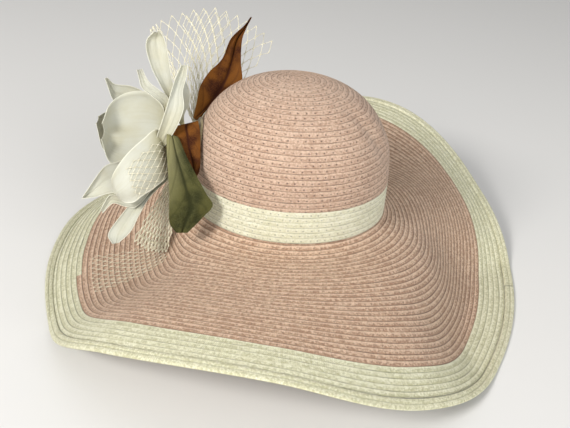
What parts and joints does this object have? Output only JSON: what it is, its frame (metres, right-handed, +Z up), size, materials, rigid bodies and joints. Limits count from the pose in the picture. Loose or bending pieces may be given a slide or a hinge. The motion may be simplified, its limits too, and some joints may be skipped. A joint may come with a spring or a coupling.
{
  "type": "wide-brimmed straw tea party hat",
  "caption": "Wide-brimmed sewn straw hat with a domed crown, contrasting band and border, a silk magnolia, velvet leaves and a net veil.",
  "frame": {"origin": "middle of the hat's outline seen from above, on the surface it rests on", "axes": "+Z up along the crown's axis, +X towards the side away from the flower, -Y towards the front, where the brim is seen from"},
  "size_m": [0.4802, 0.5138, 0.2355],
  "materials": {
    "pink_straw": "sewn straw braid, satin",
    "cream_straw": "sewn straw braid, satin",
    "silk": "thin stiffened silk",
    "brown_velvet": "velvet",
    "green_velvet": "velvet",
    "net_thread": "stiff woven net",
    "felt": "pressed felt"
  },
  "bodies": {
    "root": {"crown": "pink_straw", "crown_band": "cream_straw", "brim": "pink_straw", "brim_border": "cream_straw", "brim_edge": "cream_straw", "flower_base": "felt", "petal_cup": "silk", "petal_behind": "silk", "petal_spike": "silk", "petal_curl": "silk", "petal_top": "silk", "petal_shadow": "silk", "petal_right": "silk", "petal_front": "silk", "petal_left": "silk", "petal_low": "silk", "petal_hanging": "silk", "leaf_upper": "brown_velvet", "leaf_side": "brown_velvet", "leaf_lower": "green_velvet", "veil_fan": "net_thread", "veil_wrap": "net_thread", "veil_skirt": "net_thread"}
  },
  "joints": []
}
